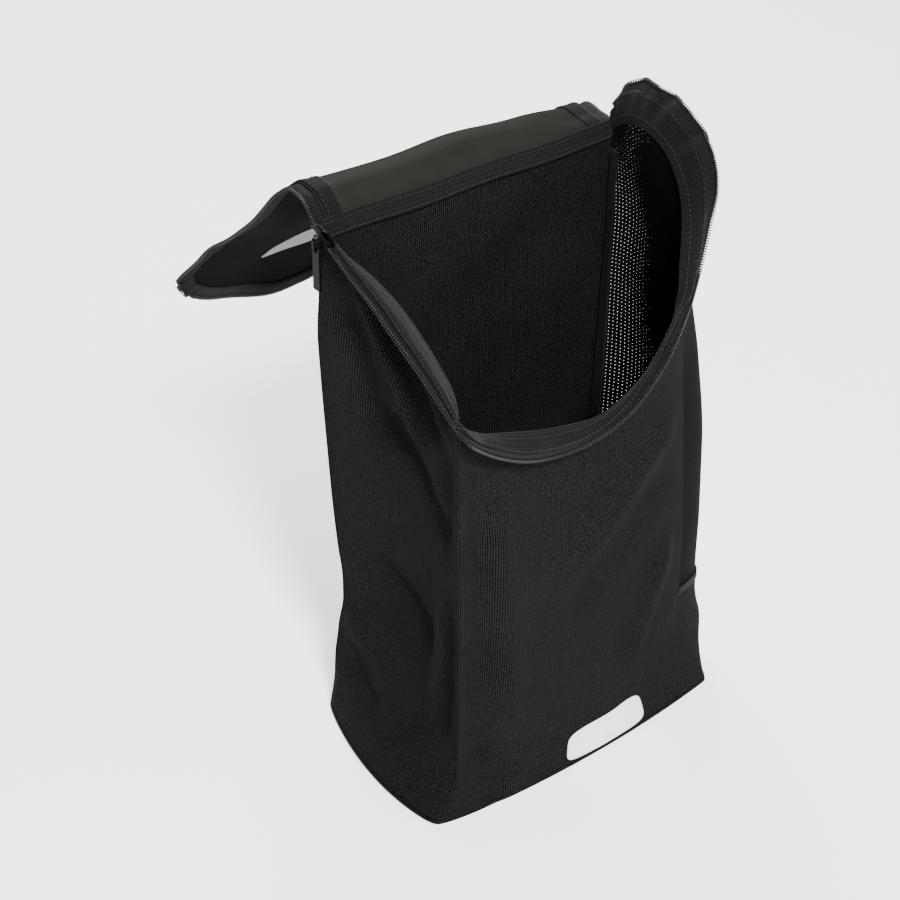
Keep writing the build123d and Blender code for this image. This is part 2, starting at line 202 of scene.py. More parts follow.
CANVAS = plain_weave("coarse_weave_cloth", (0.0002, 0.0002, 0.00025), (0.0165, 0.0165, 0.0168))
LINING = plain_weave("inner_weave_cloth", (0.0002, 0.0002, 0.00025), (0.0165, 0.0165, 0.0168))
NET = smooth_dark("open_mesh_yarn", (0.001, 0.001, 0.0011), (0.005, 0.005, 0.0055), 0.9,
                  specular=0.04, scale=900.0, bump=0.4)
TWILL = twill("lid_twill", (0.0008, 0.0008, 0.0009), (0.006, 0.006, 0.0065), 0.7)
OLIVE = coating("lid_coating", (0.0062, 0.0064, 0.0052), (0.0096, 0.0098, 0.0082))
TAPE = ribbed_tape("zip_tape_cloth", (0.0004, 0.0004, 0.0005), (0.012, 0.012, 0.0125), 0.8)
BINDING = ribbed_tape("ribbed_binding", (0.0002, 0.0002, 0.0003), (0.0095, 0.0095, 0.0098), 1.3)
COIL = smooth_dark("zip_coil_nylon", (0.002, 0.002, 0.0024), (0.006, 0.006, 0.007), 0.4)
THREAD = smooth_dark("sewing_thread", (0.004, 0.004, 0.0045), (0.012, 0.012, 0.013), 0.6,
                     scale=1500.0, bump=0.5)
METAL = smooth_dark("black_lacquer", (0.0008, 0.0008, 0.0010), (0.0022, 0.0022, 0.0026), 0.42, specular=0.05)
PRINT = film("print_film", (0.60, 0.61, 0.68), (0.80, 0.80, 0.88))
# The lid's light grey print, its colour darkened to stand for the shade it lies in: painted shade
LID_PRINT_IN_PAINTED_SHADE = film("lid_print_film_painted_shade", (0.15, 0.15, 0.17), (0.26, 0.26, 0.29))

# ================================================================ mesh helpers


def obj_from(name, verts, faces, uvs=None, mats=(), face_mats=None):
    """An object from points in mm, faces as lists of point numbers and, if given, a UV in mm per point."""
    mesh = bpy.data.meshes.new(name)
    mesh.from_pydata((np.asarray(verts, float) * MM).tolist(), [], [list(map(int, f)) for f in faces])
    if uvs is not None:
        layer = mesh.uv_layers.new(name="UVMap")
        index = np.zeros(len(mesh.loops), np.int32)
        mesh.loops.foreach_get("vertex_index", index)
        layer.data.foreach_set("uv", (np.asarray(uvs, float)[index] * MM).astype(np.float32).ravel())
    for m in mats:
        mesh.materials.append(m)
    if face_mats is not None:
        mesh.polygons.foreach_set("material_index", np.asarray(face_mats, np.int32))
    mesh.polygons.foreach_set("use_smooth", [True] * len(mesh.polygons))
    mesh.validate()
    mesh.update()
    o = bpy.data.objects.new(name, mesh)
    bpy.context.scene.collection.objects.link(o)
    return o


def grid_normals(p):
    """Normals of a grid of points, rows by columns."""
    du, dv = np.gradient(p, axis=1), np.gradient(p, axis=0)
    n = np.cross(du, dv)
    return n / np.maximum(np.linalg.norm(n, axis=2, keepdims=True), 1e-9)


def grid_uv(p):
    """Arc lengths along and up a grid, so a weave keeps its real size."""
    du = np.linalg.norm(np.diff(p, axis=1), axis=2).mean(0)
    dv = np.linalg.norm(np.diff(p, axis=0), axis=2)
    u = np.concatenate([[0], np.cumsum(du)])
    v = np.concatenate([np.zeros((1, p.shape[1])), np.cumsum(dv, axis=0)])
    return np.stack([np.broadcast_to(u, v.shape), v], axis=2)


def cloth(name, p, thick, outer, inner=None, flip=False):
    """A closed thin shell on a grid of points: outer face along the grid's normal, inner face behind it."""
    rows, cols = p.shape[:2]
    n = grid_normals(p) * (-1 if flip else 1)
    uv = grid_uv(p).reshape(-1, 2)
    verts = np.concatenate([(p + n * thick / 2).reshape(-1, 3), (p - n * thick / 2).reshape(-1, 3)])
    a = (np.arange(rows - 1)[:, None] * cols + np.arange(cols - 1)[None]).ravel()
    quad = np.stack([a, a + 1, a + cols + 1, a + cols], 1)
    count = rows * cols
    top = quad[:, ::-1] if flip else quad
    low = quad + count if flip else quad[:, ::-1] + count
    ring = np.concatenate([np.arange(cols), np.arange(1, rows) * cols + cols - 1,
                           (rows - 1) * cols + np.arange(cols - 2, -1, -1),
                           np.arange(rows - 2, 0, -1) * cols])
    nxt = np.roll(ring, -1)
    side = np.stack([ring, ring + count, nxt + count, nxt], 1)
    if flip:
        side = side[:, ::-1]
    faces = np.concatenate([top, low, side])
    marks = np.concatenate([np.zeros(len(top)), np.ones(len(low)), np.zeros(len(side))]).astype(int)
    mats = [outer, inner or outer]
    return obj_from(name, verts, faces, np.concatenate([uv, uv]), mats, marks)


def spline(points, count):
    """Centripetal Catmull-Rom through the points, evenly spaced along its length."""
    pts = np.asarray(points, float)
    ext = np.vstack([2 * pts[0] - pts[1], pts, 2 * pts[-1] - pts[-2]])
    out = []
    for i in range(1, len(ext) - 2):
        p0, p1, p2, p3 = ext[i - 1], ext[i], ext[i + 1], ext[i + 2]
        t0 = 0.0
        t1 = t0 + max(np.linalg.norm(p1 - p0), 1e-6) ** 0.5
        t2 = t1 + max(np.linalg.norm(p2 - p1), 1e-6) ** 0.5
        t3 = t2 + max(np.linalg.norm(p3 - p2), 1e-6) ** 0.5
        t = np.linspace(t1, t2, 24, endpoint=(i == len(ext) - 3))[:, None]
        a1 = (t1 - t) / (t1 - t0) * p0 + (t - t0) / (t1 - t0) * p1
        a2 = (t2 - t) / (t2 - t1) * p1 + (t - t1) / (t2 - t1) * p2
        a3 = (t3 - t) / (t3 - t2) * p2 + (t - t2) / (t3 - t2) * p3
        b1 = (t2 - t) / (t2 - t0) * a1 + (t - t0) / (t2 - t0) * a2
        b2 = (t3 - t) / (t3 - t1) * a2 + (t - t1) / (t3 - t1) * a3
        out.append((t2 - t) / (t2 - t1) * b1 + (t - t1) / (t2 - t1) * b2)
    line = np.concatenate(out)
    return resample(line, count)


def resample(line, count):
    s = np.concatenate([[0], np.cumsum(np.linalg.norm(np.diff(line, axis=0), axis=1))])
    t = np.linspace(0, s[-1], count)
    return np.stack([np.interp(t, s, line[:, k]) for k in range(line.shape[1])], 1)


def smooth01(x):
    x = np.clip(x, 0, 1)
    return x * x * (3 - 2 * x)


def soft_noise(p, scale, seed):
    """Smooth noise from -1 to 1 at each point of a grid."""
    flat = p.reshape(-1, 3) / scale + seed * 17.3
    return np.array([noise.noise(Vector(v)) for v in flat]).reshape(p.shape[:-1])


def stamps(name, template, faces, places, frames, mat):
    """Many copies of one small closed shape in one mesh; frames are 3x3 matrices of axes in rows."""
    template = np.asarray(template, float)
    verts = np.einsum("ik,nkj->nij", template, frames) + places[:, None, :]
    count = len(template)
    all_faces = (np.asarray(faces)[None] + (np.arange(len(places)) * count)[:, None, None]).reshape(-1, 4)
    uv = np.tile(template[:, :2], (len(places), 1))
    return obj_from(name, verts.reshape(-1, 3), all_faces, uv, [mat])


def capsule(length, width, height, rings=6, sides=8, bend=0.0):
    """A rounded bar along X, as points and quads; closed with collapsed end rings."""
    pts, faces = [], []
    for i in range(rings + 1):
        a = math.pi * i / rings
        x = -math.cos(a) * length / 2
        r = max(math.sin(a), 0.02) ** 0.5
        for j in range(sides):
            b = 2 * math.pi * j / sides
            rise = bend * (1 - (2 * x / length) ** 2)
            pts.append((x, math.cos(b) * r * width / 2, math.sin(b) * r * height / 2 + rise))
    for i in range(rings):
        for j in range(sides):
            k = (j + 1) % sides
            faces.append((i * sides + j, i * sides + k, (i + 1) * sides + k, (i + 1) * sides + j))
    for base in (0, rings * sides):
        for j in range(0, sides // 2 - 1):
            quad = [base + j, base + j + 1, base + sides - 2 - j, base + sides - 1 - j]
            faces.append(tuple(quad if base else quad[::-1]))
    return pts, faces


def frames_along(line, up):
    """Row axes along a line: along it, across it, and out along up."""
    t = np.gradient(line, axis=0)
    t /= np.linalg.norm(t, axis=1, keepdims=True)
    n = up - (up * t).sum(1, keepdims=True) * t
    n /= np.maximum(np.linalg.norm(n, axis=1, keepdims=True), 1e-9)
    return t, np.cross(n, t), n


def coil(name, line, up):
    """A nylon zip coil along a line: one rounded tooth across the line at every pitch."""
    length = np.linalg.norm(np.diff(line, axis=0), axis=1).sum()
    count = int(length / 1.55)
    mid = resample(line, count)
    ups = resample(up, count)
    t, side, n = frames_along(mid, ups)
    pts, faces = capsule(3.1, 1.05, 1.9, rings=4, sides=6)
    axes = np.stack([side, t, n], 1)
    return stamps(name, pts, faces, mid, axes, COIL)


def stitches(name, line, up, pitch=3.0, length=2.3):
    """A row of sewn stitches lying on a surface along a line."""
    total = np.linalg.norm(np.diff(line, axis=0), axis=1).sum()
    count = max(int(total / pitch), 2)
    mid, ups = resample(line, count), resample(up, count)
    t, side, n = frames_along(mid, ups)
    pts, faces = capsule(length, 0.55, 0.42, rings=4, sides=6, bend=0.08)
    return stamps(name, pts, faces, mid + n * 0.12, np.stack([t, side, n], 1), THREAD)


# ================================================================ the body's shape, in mm
# Columns at the four corners: height, x, y.
FL = np.array([(0, -112, -63.5), (10, -105, -62), (26, -95, -62), (60, -94.5, -62.5), (155, -96, -63),
               (263, -100, -63.5), (300, -100, -63.5)], float)
FR = np.array([(0, 107, -61), (10, 105, -59), (28, 97, -52), (50, 90, -48), (80, 89, -46), (117, 89, -45),
               (190, 85, -42), (287, 78, -39), (310, 76, -38)], float)
BR = np.array([(0, 100, 62), (40, 98, 61.5), (180, 100, 62), (300, 103, 62), (360, 104, 61)], float)
BL = np.array([(0, -103, 62), (20, -99, 62), (45, -98, 62), (78, -92, 61), (104, -92, 61), (127, -95, 61.5),
               (163, -98, 62), (238, -103, 62), (308, -107, 62), (360, -109, 61)], float)


def column(c, z):
    """Smooth x, y of a corner at heights z."""
    zz = np.linspace(0, 400, 401)
    out = []
    for k in (1, 2):
        raw = np.interp(zz, c[:, 0], c[:, k])
        pad = np.pad(raw, 8, mode="edge")
        out.append(np.interp(z, zz, np.convolve(pad, np.ones(17) / 17, "valid")))
    return np.stack(out, -1)


def crease(x, z, a, b, width, height):
    """A soft ridge (or valley, with a negative height) along the line from a to b on a wall."""
    a, b = np.array(a, float), np.array(b, float)
    d = b - a
    length = np.hypot(*d)
    d = d / length
    s = (x - a[0]) * d[0] + (z - a[1]) * d[1]
    across = -(x - a[0]) * d[1] + (z - a[1]) * d[0]
    fade = smooth01(s / (length * 0.3) + 0.5) * smooth01((length - s) / (length * 0.3) + 0.5)
    return height * np.exp(-((across / width) ** 2)) * fade


def front_out(t, z):
    x = -100 + 185 * t
    low = smooth01((z) / 60)
    b = (7.5 + 4.5 * smooth01(z / 150) + 2.0 * (1 - smooth01(z / 35))) * np.sin(math.pi * t ** 0.85) ** 0.7
    b = b - 5.0 * np.exp(-(((t - 0.07) / 0.05) ** 2)) * low * smooth01((270 - z) / 60)
    b += crease(x, z, (70, 222), (-24, 158), 11, 7.0) + crease(x, z, (66, 128), (30, 44), 9, 6.0)
    b += crease(x, z, (62, 176), (-16, 122), 12, -6.0) + crease(x, z, (-76, 222), (-64, 70), 9, 4.0)
    b += crease(x, z, (-88, 40), (-60, 8), 9, -4.5) + crease(x, z, (20, 30), (80, 14), 12, -2.0)
    b += crease(x, z, (-70, 236), (0, 214), 12, 2.5)
    return b


def left_out(t, z):
    """t runs from the front corner to the back one."""
    y = -62 + 124 * t
    b = -14.0 * np.sin(math.pi * t) ** 1.1 * smooth01((z - 8) / 90)
    b += -6.0 * np.exp(-(((t - 0.16) / 0.07) ** 2)) * smooth01((z - 25) / 60) * smooth01((285 - z) / 50)
    b += crease(y, z, (36, 336), (-12, 246), 5, 7.0) + crease(y, z, (46, 312), (22, 230), 10, -6.0)
    b += crease(y, z, (16, 316), (-30, 262), 8, -7.0) + crease(y, z, (0, 312), (-46, 270), 7, 4.0)
    b += crease(y, z, (20, 250), (-34, 200), 9, -6.0) + crease(y, z, (52, 44), (18, 26), 7, -5.0)
    b += crease(y, z, (56, 76), (4, 52), 12, 7.0) + crease(y, z, (-48, 200), (-22, 70), 9, 5.0)
    b += crease(y, z, (40, 130), (-20, 100), 10, -6.0) + crease(y, z, (-44, 60), (0, 22), 8, -5.0)
    b += 11.5 * np.sin(math.pi * t ** 0.9) ** 0.7 * (1 - smooth01(z / 60))
    return b


def right_out(t, z):
    c = np.clip(t, 0, 1)
    full = (10 + 20 * smooth01(z / 40)) * (1 - 0.3 * smooth01((z - 170) / 110))
    return full * (1 - np.abs(1 - 2 * c) ** 5.0) * (1.1 - 0.4 * c)


def back_out(t, z):
    return 2.5 * np.sin(math.pi * t) + crease(-100 + 200 * t, z, (-60, 300), (40, 240), 20, 3.0) - 1.0


WALLS = {"front": (FL, FR, front_out), "right": (FR, BR, right_out),
         "back": (BR, BL, back_out), "left": (FL, BL, left_out)}


def wall_point(wall, t, z):
    """Point of a wall at share t between its corners and height z (arrays of one shape)."""
    a, b, out = WALLS[wall]
    pa, pb = column(a, z), column(b, z)
    p = pa + (pb - pa) * t[..., None]
    d = pb - pa
    d = d / np.linalg.norm(d, axis=-1, keepdims=True)
    n = np.stack([d[..., 1], -d[..., 0]], -1)
    if wall == "left":
        n = -n
    p = p + n * out(t, z)[..., None]
    return np.concatenate([p, z[..., None]], -1)


# The mouth: pairs of a point on the walls' top edge and the zip coil's place outside it, from the back left
# corner round the front to the back right corner.
RIM = [
    ((-103, 59, 351), (-108.6, 61, 356.5)), ((-99, 36, 341), (-106.8, 36, 343.5)),
    ((-94, 10, 327), (-104.4, 10, 329)), ((-92, -14, 313), (-102.8, -14, 315.5)),
    ((-93, -38, 300), (-101.3, -40, 301)), ((-96, -55, 293), (-100.8, -58, 291)),
    ((-98, -62, 289), (-100, -70, 285)),
    ((-84, -61, 277), (-90, -72, 275)), ((-57, -63, 266), (-61, -71, 256)),
    ((-28, -62, 257), (-32, -70, 248)), ((0, -60, 252), (-4, -69, 248)),
    ((24, -57, 257), (22, -67, 256)), ((44, -53, 268), (43, -64, 273)),
    ((60, -49, 283), (60, -59, 290)), ((74, -43, 298), (79, -46, 297)),
    ((84, -32, 310), (97, -32, 306)), ((94, -21, 328), (107, -26, 325)), ((99, -11, 344), (112, -24, 350)),
    ((101, -1, 354), (114, -15, 368)), ((102, 9, 362), (115, -1, 378)), ((102, 22, 367), (115, 17, 386)),
    ((102, 35, 368), (113, 34, 388)), ((102, 46, 365), (112, 46, 388)), ((103, 54, 360), (109, 57, 378)),
    ((103, 60, 353), (106, 64, 366)),
]
FL_ROW, FR_ROW = 6, 14
rim_pts = np.array([r for r, c in RIM], float)
coil_pts = np.array([c for r, c in RIM], float)
RIM_COUNT = 421
both = spline(np.concatenate([rim_pts, coil_pts], 1), RIM_COUNT)
rim_line, coil_line = both[:, :3], both[:, 3:]
corner_fl = int(np.argmin(np.linalg.norm(rim_line - rim_pts[FL_ROW], axis=1)))
corner_fr = int(np.argmin(np.linalg.norm(rim_line - rim_pts[FR_ROW], axis=1)))


def wall_grid(wall, top, t, rows=90):
    """Grid of a wall under a top edge; the last 75 mm ease from the wall's own shape to that edge."""
    w = np.linspace(0, 1, rows)[:, None]
    z = top[None, :, 2] * w
    tt = np.broadcast_to(t[None], z.shape)
    p = wall_point(wall, tt, z)
    shift = top[None] - wall_point(wall, t[None], top[None, :, 2])
    ease = smooth01(1 - (top[None, :, 2] - z) / 75.0)
    return p + shift * ease[..., None]


def share(values, a, b):
    """How far values have come from a to b, from 0 to 1."""
    return np.clip((values - a) / (b - a), 0, 1)


def rumple(p, amount, scale, seed):
    """Small smooth wrinkles along the normals, fading out at the grid's edges."""
    rows, cols = p.shape[:2]
    edge = np.minimum(np.minimum(np.arange(cols), np.arange(cols)[::-1])[None] / (cols * 0.06),
                      np.minimum(np.arange(rows), np.arange(rows)[::-1])[:, None] / (rows * 0.05))
    n = grid_normals(p)
    stretch = p * np.array([1.0, 1.0, 0.7])
    f = soft_noise(stretch, scale, seed) + 0.5 * soft_noise(stretch, scale * 0.45, seed + 3)
    return p + n * (f * amount * np.clip(edge, 0, 1))[..., None]


def keep(o, body, *replaced, slot=None):
    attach(o, body)
    if replaced:
        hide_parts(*replaced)
    return o


left_top = rim_line[: corner_fl + 1][::-1]
left_t = share(left_top[:, 1], left_top[0, 1], left_top[-1, 1])
left = rumple(wall_grid("left", left_top, left_t), 1.5, 34, 1)
keep(cloth("left_wall", left, 1.3, CANVAS, LINING, flip=True), "bag", "left_side_panel", slot="coarse_weave")

front_top = rim_line[corner_fl: corner_fr + 1]
front_t = share(front_top[:, 0], front_top[0, 0], front_top[-1, 0])
front = rumple(wall_grid("front", front_top, front_t, rows=110), 1.6, 42, 5)
keep(cloth("front_wall", front, 1.3, CANVAS, LINING), "bag", "front_panel", slot="coarse_weave")

right_top = rim_line[corner_fr:]
right_t = share(right_top[:, 1], right_top[0, 1], right_top[-1, 1])
right = wall_grid("right", right_top, right_t, rows=120)

back_x = np.linspace(0, 1, 90)
sag = np.sin(math.pi * back_x)
back_top = np.stack([103.5 - 207 * back_x, 61.5 + 1.0 * sag, 354.5 - 3.0 * sag], 1)
back = rumple(wall_grid("back", back_top, back_x, rows=100), 1.6, 45, 9)
keep(cloth("back_wall", back, 1.3, CANVAS, LINING), "bag", "back_panel", slot="coarse_weave")

# ---- right wall: a woven foot under a diagonal seam, an open net above it
SEAM_FRONT, SEAM_BACK = 76.0, 40.0


def wall_lookup(grid, fc, fr):
    """Bilinear points of a grid at fractional columns and rows."""
    rows, cols = grid.shape[:2]
    c = np.clip(fc, 0, cols - 1.001)
    r = np.clip(fr, 0, rows - 1.001)
    c0, r0 = np.floor(c).astype(int), np.floor(r).astype(int)
    a, b = (c - c0)[..., None], (r - r0)[..., None]
    return (grid[r0, c0] * (1 - a) * (1 - b) + grid[r0, c0 + 1] * a * (1 - b)
            + grid[r0 + 1, c0] * (1 - a) * b + grid[r0 + 1, c0 + 1] * a * b)


seam_z = SEAM_FRONT + (SEAM_BACK - SEAM_FRONT) * right_t
seam_row = np.array([np.interp(seam_z[i], right[:, i, 2], np.arange(right.shape[0]))
                     for i in range(right.shape[1])])
cols_r = np.arange(right.shape[1], dtype=float)
foot_rows = np.linspace(0, 1, 26)[:, None] * seam_row[None]
foot = wall_lookup(right, np.broadcast_to(cols_r, foot_rows.shape), foot_rows)
keep(cloth("right_foot", rumple(foot, 0.8, 30, 13), 1.3, CANVAS, LINING), "bag", "right_foot_panel",
     slot="coarse_weave")

PITCH_U, PITCH_V = 2.9, 2.5


def net(name, grid, row_from):
    """An open net of hexagonal holes over a grid of points, with a little thickness."""
    rows, cols = grid.shape[:2]
    width = np.linalg.norm(np.diff(grid[rows // 2], axis=0), axis=1).sum()
    height = np.linalg.norm(np.diff(grid[:, cols // 2], axis=0), axis=1).sum() * (1 - row_from.mean() / rows)
    col_s = np.concatenate([[0], np.cumsum(np.linalg.norm(np.diff(grid[rows // 2], axis=0), axis=1))])
    hexagon = np.array([(-0.5, 0.0), (-0.25, 0.5), (0.25, 0.5), (0.5, 0.0), (0.25, -0.5), (-0.25, -0.5)])
    ux = PITCH_U / 0.75
    centres = np.array([(i * PITCH_U, (j + 0.5 * (i % 2)) * PITCH_V)
                        for i in range(int(width / PITCH_U) + 1) for j in range(int(height / PITCH_V) + 1)])
    outer = centres[:, None] + hexagon[None] * np.array([ux, PITCH_V])
    inner = centres[:, None] + hexagon[None] * np.array([ux * 0.165, PITCH_V * 0.17])
    pts = np.concatenate([outer, inner], 1)
    u = np.clip(pts[..., 0], 0, width)
    v = np.clip(pts[..., 1] / height, 0, 1)
    fc = np.interp(u, col_s, np.arange(cols))
    start = np.interp(fc, np.arange(cols), row_from)
    fr = start + (rows - 1 - start) * v
    pos = wall_lookup(grid, fc, fr)
    normal = wall_lookup(grid_normals(grid), fc, fr)
    normal = normal / np.linalg.norm(normal, axis=-1, keepdims=True)
    n_cell = len(centres)
    thick = 0.3
    top, low = pos + normal * thick / 2, pos - normal * thick / 2
    verts = np.concatenate([top.reshape(-1, 3), low.reshape(-1, 3)])
    base = (np.arange(n_cell) * 12)[:, None, None]
    k = np.arange(6)
    nx = (k + 1) % 6
    face_top = np.stack([k, nx, nx + 6, k + 6], 1)[None] + base
    face_low = np.stack([k + 6, nx + 6, nx, k], 1)[None] + base + n_cell * 12
    wall_in = np.stack([k + 6, nx + 6, nx + 6 + n_cell * 12, k + 6 + n_cell * 12], 1)[None] + base
    faces = np.concatenate([f.reshape(-1, 4)[:, ::-1] for f in (face_top, face_low, wall_in)])
    quad = verts[faces]
    area = np.linalg.norm(np.cross(quad[:, 2] - quad[:, 0], quad[:, 3] - quad[:, 1]), axis=1)
    uv = np.concatenate([pts.reshape(-1, 2)] * 2)
    o = obj_from(name, verts, faces[area > 0.02], uv, [NET])
    bm = bmesh.new()
    bm.from_mesh(o.data)
    bmesh.ops.remove_doubles(bm, verts=bm.verts, dist=0.00006)
    loose = [v for v in bm.verts if not v.link_faces]
    bmesh.ops.delete(bm, geom=loose, context="VERTS")
    bm.to_mesh(o.data)
    bm.free()
    return o


keep(net("right_net", right, seam_row), "bag", "right_mesh_panel", slot="open_mesh")

# ---- base
base_loop = np.concatenate([front[0], right[0, 1:], back[0, 1:], left[0][::-1][1:-1]])
rings = []
for f in np.linspace(1, 0.02, 16):
    ring = base_loop * f
    ring[:, 2] = 0.4 * (1 - f) + 0.35
    rings.append(ring)
base_grid = np.array(rings)
base_closed = np.concatenate([base_grid, base_grid[:, :1]], 1)
keep(cloth("base_cloth", base_closed, 0.7, CANVAS, LINING, flip=True), "bag", "base_panel",
     slot="coarse_weave")

# ================================================================ seams
def strip_between(a, b, count, sag=0.0, up=None):
    """A grid between two lines, bowed by sag along up."""
    w = np.linspace(0, 1, count)[:, None, None]
    p = a[None] * (1 - w) + b[None] * w
    if up is not None:
        p = p + up[None] * (sag * np.sin(math.pi * w))
    return p


def corner_piping(name, line, direction, width):
    """A soft folded seam edge that stands a little proud of a corner."""
    t = np.gradient(line, axis=0)
    t /= np.linalg.norm(t, axis=1, keepdims=True)
    d = direction - (direction * t).sum(1, keepdims=True) * t
    d /= np.linalg.norm(d, axis=1, keepdims=True)
    side = np.cross(t, d)
    rows = []
    for a in np.linspace(0, 2 * math.pi, 9):
        rows.append(line + side * math.cos(a) * width * 0.5 + d * math.sin(a) * width * 0.5)
    p = np.array(rows)
    cols, n = p.shape[1], p.shape[0]
    faces = [(r * cols + c, r * cols + c + 1, (r + 1) * cols + c + 1, (r + 1) * cols + c)
             for r in range(n - 1) for c in range(cols - 1)]
    faces += [[r * cols for r in range(n - 1)][::-1], [r * cols + cols - 1 for r in range(n - 1)]]
    return obj_from(name, p.reshape(-1, 3), faces, grid_uv(p).reshape(-1, 2), [CANVAS])


fl_line = left[:, 0]
fr_line = front[:, -1]
br_line = back[:, 0]
bl_line = left[:, -1]
for name, line, out in (("front_left", fl_line, (-1, -1, 0)), ("front_right", fr_line, (0.6, -1, 0)),
                        ("back_right", br_line, (1, 1, 0)), ("back_left", bl_line, (-1, 1, 0))):
    o = corner_piping("seam_edge_" + name, resample(line, 120), np.tile(np.array(out, float), (120, 1)), 2.2)
    keep(o, "bag", slot="coarse_weave")
    inner_dir = -np.array((0.12, 1, 0) if name == "back_right" else out, float)
    inner_dir /= np.linalg.norm(inner_dir)
    rib = resample(line[3: -14 if name == "front_right" else -4], 110)
    start, end = rib + inner_dir * 2.0, rib + inner_dir * 10.5
    wav = np.sin(np.linspace(0, 9, 110))[:, None] * np.cross(inner_dir, (0, 0, 1)) * 1.2
    tape = strip_between(start, end + wav, 8)
    keep(cloth("seam_tape_" + name, tape, 1.2, BINDING), "bag", "seam_binding_" + name, slot="ribbed_webbing")

loop = np.concatenate([base_loop, base_loop[:1]])
loop_z = loop.copy()
loop_z[:, 2] = 1.6
o = corner_piping("seam_edge_base", loop_z, np.tile(np.array([0.0, 0, -1.0]), (len(loop), 1)), 2.4)
keep(o, "bag", slot="coarse_weave")
INSIDE = np.array([0.955, 0.93, 1])  # the base outline drawn in to the inner side of its seam
inner_loop, inner_top = (loop * INSIDE + np.array([0, 0, z]) for z in (3.0, 9.0))
keep(cloth("base_seam_tape", strip_between(inner_loop, inner_top, 5), 1.1, BINDING), "bag",
     "base_seam_binding", slot="ribbed_webbing")

seam_line = wall_lookup(right, cols_r, seam_row)
right_n = grid_normals(right)
seam_n = wall_lookup(right_n, cols_r, seam_row)
tape_low = seam_line - np.array([0, 0, 4.0]) + seam_n * 0.9
tape_high = seam_line + np.array([0, 0, 1.5]) + seam_n * 0.9
keep(cloth("foot_seam_tape", strip_between(tape_low, tape_high, 5), 0.8, BINDING), "bag",
     slot="ribbed_webbing")
keep(stitches("foot_seam_stitches", seam_line - np.array([0, 0, 3.0]) + seam_n * 1.3, seam_n), "bag",
     slot="ribbed_webbing")

# ================================================================ zip half and bindings round the mouth
count = 900
at = np.linspace(0, RIM_COUNT - 1, count)
rim2, coil2 = (np.stack([np.interp(at, np.arange(RIM_COUNT), line[:, k]) for k in range(3)], 1)
               for line in (rim_line, coil_line))
across = coil2 - rim2
tangent = np.gradient(rim2, axis=0)
tangent /= np.linalg.norm(tangent, axis=1, keepdims=True)
band_n = np.cross(tangent, across)
band_n /= np.linalg.norm(band_n, axis=1, keepdims=True)
band_n *= np.where((band_n[:, 2:] < 0), -1, 1)
s_arc = np.concatenate([[0], np.cumsum(np.linalg.norm(np.diff(rim2, axis=0), axis=1))])
late = smooth01((s_arc - s_arc[-1] + 95) / 45)
wave = (1.3 * np.sin(s_arc / 3.1) + 0.7 * np.sin(s_arc / 1.7 + 1)) * late + 0.25 * np.sin(s_arc / 7.0)
coil3 = coil2 + band_n * wave[:, None]
body_coil = coil("body_zip_teeth", coil3, band_n)
keep(body_coil, "bag", "body_zip_coil", slot="zip_coil")
w = np.linspace(0, 1, 12)[:, None, None]
pucker = 0.6 * np.sin(s_arc / 4.3)[None, :, None] * (0.3 + late[None, :, None])
band = rim2[None] * (1 - w) + coil3[None] * w + band_n[None] * (1.8 + pucker) * np.sin(math.pi * w)
keep(cloth("mouth_zip_tape", band - band_n[None] * 0.7, 0.6, TAPE), "bag", "body_zip_tape", slot="zip_tape")
face = band[:9] + band_n[None] * 0.35
inward = -across / np.linalg.norm(across, axis=1, keepdims=True)
inner_fold = rim2 - band_n * 1.0 + inward * 2.2
s_corner = np.interp(corner_fl / (RIM_COUNT - 1), np.linspace(0, 1, count), s_arc)
turned_in = 0.8 + 6.5 * smooth01(s_arc / 30) * smooth01((s_corner - 6 - s_arc) / 25)
inner_edge = inner_fold + (inward - 0.35 * band_n) * turned_in[:, None]
face = np.concatenate([inner_edge[None], inner_fold[None], face])
keep(cloth("mouth_facing", face, 0.9, BINDING), "bag", "rim_binding", slot="ribbed_webbing")
for row, word in ((3, "low"), (9, "high")):
    keep(stitches("mouth_stitches_" + word, face[row] + band_n * 0.5, band_n), "bag", slot="ribbed_webbing")

# ---- ribbed binding along the hinge
hinge_x = np.linspace(-103, 103, 200)
bow = 1.2 * np.sin(np.linspace(0, 14, 200))
low_edge = np.stack([hinge_x, 60.0 + 0 * hinge_x, 345.5 + 0.5 * bow], 1)
high_edge = np.stack([hinge_x, 61.5 + 0 * hinge_x, 357.5 + 0.3 * bow], 1)
hinge_grid = strip_between(low_edge, high_edge, 7, 1.0, np.tile(np.array([0.0, -1.0, 0.0]), (200, 1)))
keep(cloth("hinge_tape", hinge_grid, 1.2, BINDING), "bag", "hinge_binding", slot="ribbed_webbing")
front_up = np.tile(np.array([0.0, -1.0, 0.2]), (200, 1))
for row, word in ((1, "low"), (5, "high")):
    keep(stitches("hinge_stitches_" + word, hinge_grid[row] + np.array([0, -0.7, 0]), front_up), "bag",
         slot="ribbed_webbing")

# ================================================================ haul loop on the back
loop_y, low_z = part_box("haul_loop")[0].y / MM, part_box("haul_loop")[0].z / MM
loop_out, high_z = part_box("haul_loop")[1].y / MM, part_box("haul_loop")[1].z / MM
path = spline([(-62, loop_y + 0.9, 0), (-48, loop_y + 1.0, 0), (-36, loop_y + 6, 0), (-20, loop_out - 3, 0),
               (0, loop_out - 1, 0), (20, loop_out - 3, 0), (36, loop_y + 6, 0), (48, loop_y + 1.0, 0),
               (62, loop_y + 0.9, 0)], 160)
rise = np.linspace(low_z, high_z, 14)
web = np.array([path + np.array([0, 0, z]) for z in rise])
keep(cloth("haul_webbing", web, 1.7, BINDING), "bag", "haul_loop", slot="ribbed_webbing")

